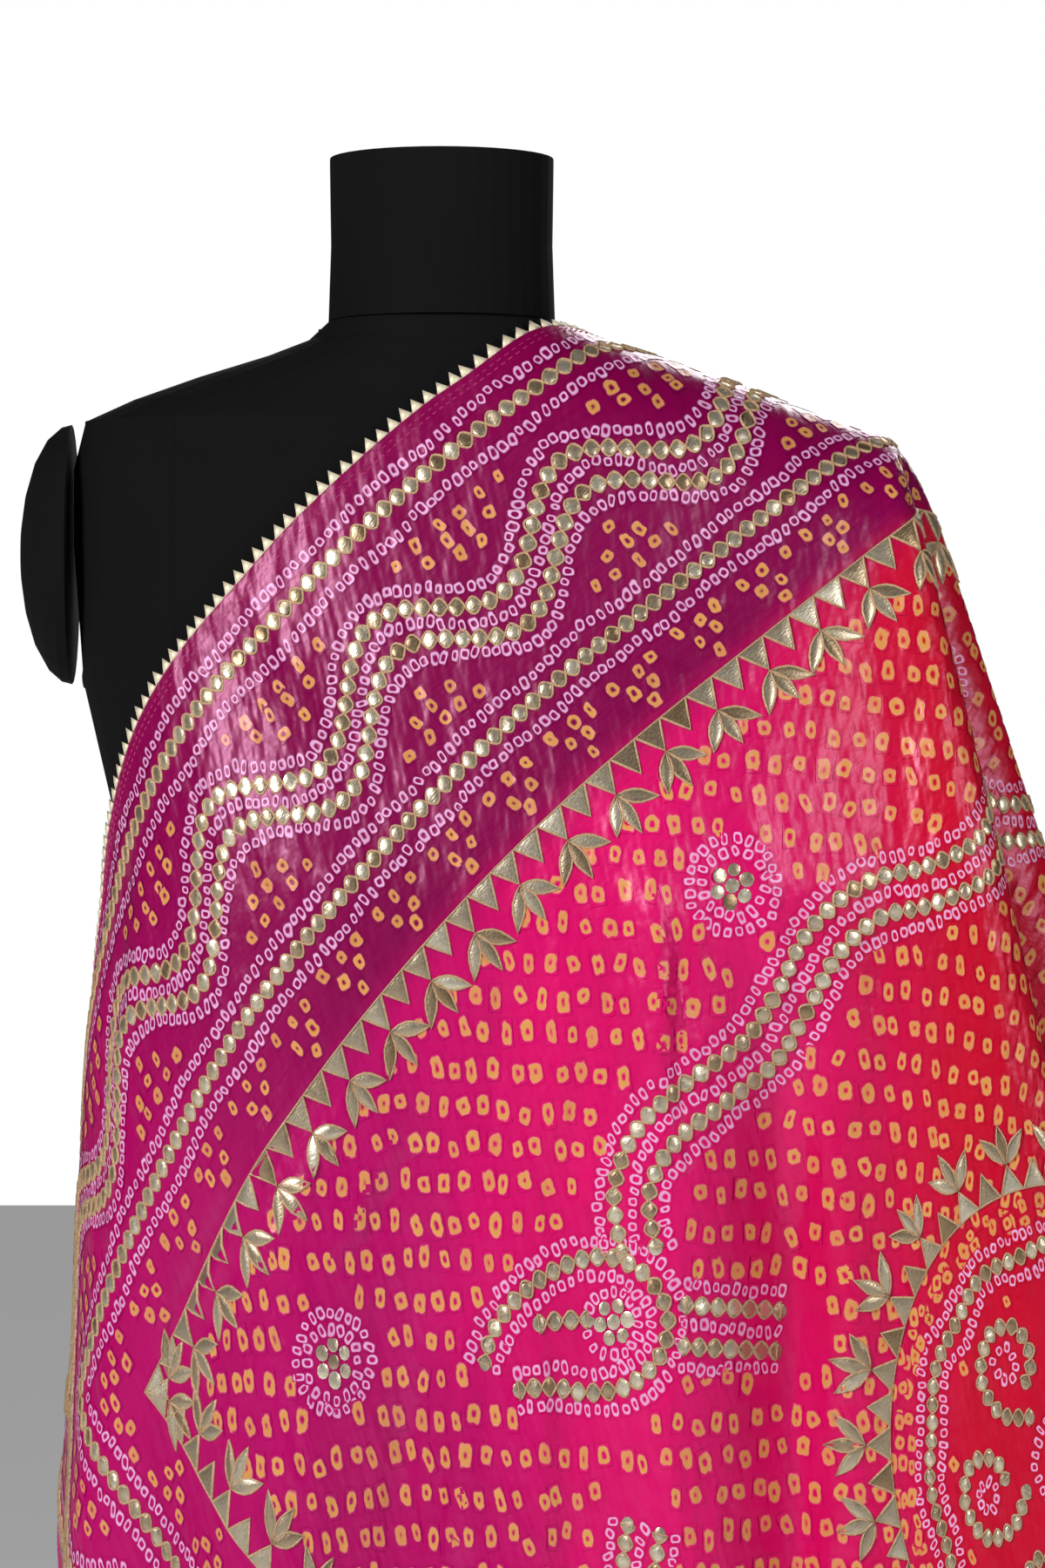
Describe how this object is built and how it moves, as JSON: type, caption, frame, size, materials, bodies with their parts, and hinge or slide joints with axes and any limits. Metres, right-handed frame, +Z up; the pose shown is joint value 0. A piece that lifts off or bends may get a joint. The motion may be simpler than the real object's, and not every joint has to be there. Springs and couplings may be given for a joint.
{
  "type": "bandhani cloth draped on a dress form with its stand",
  "caption": "Tie-dyed satin shawl with gold trim, draped over one shoulder of a plain black dress form on a round-based stand.",
  "frame": {"origin": "on the floor, at the middle of the stand's round base", "axes": "+Z up; -Y is the way the form faces; +X is towards the shoulder that carries the cloth"},
  "size_m": [0.7185, 0.4364, 1.6626],
  "materials": {
    "bandhani_satin": "silk satin with a soft sheen, dyed wine, magenta and red, with tied white and yellow dots",
    "gota": "pale gold woven metallic ribbon, edged with thread",
    "form_cloth": "matt black woven cover",
    "stand_metal": "satin black paint"
  },
  "bodies": {
    "root": {"cloth_panel": "bandhani_satin", "gota_edge_trim": "gota", "form_torso": "form_cloth", "form_neck": "form_cloth", "form_arm_cap_right": "form_cloth", "form_arm_cap_left": "form_cloth", "stand_pole": "stand_metal", "stand_base": "stand_metal"}
  },
  "joints": []
}
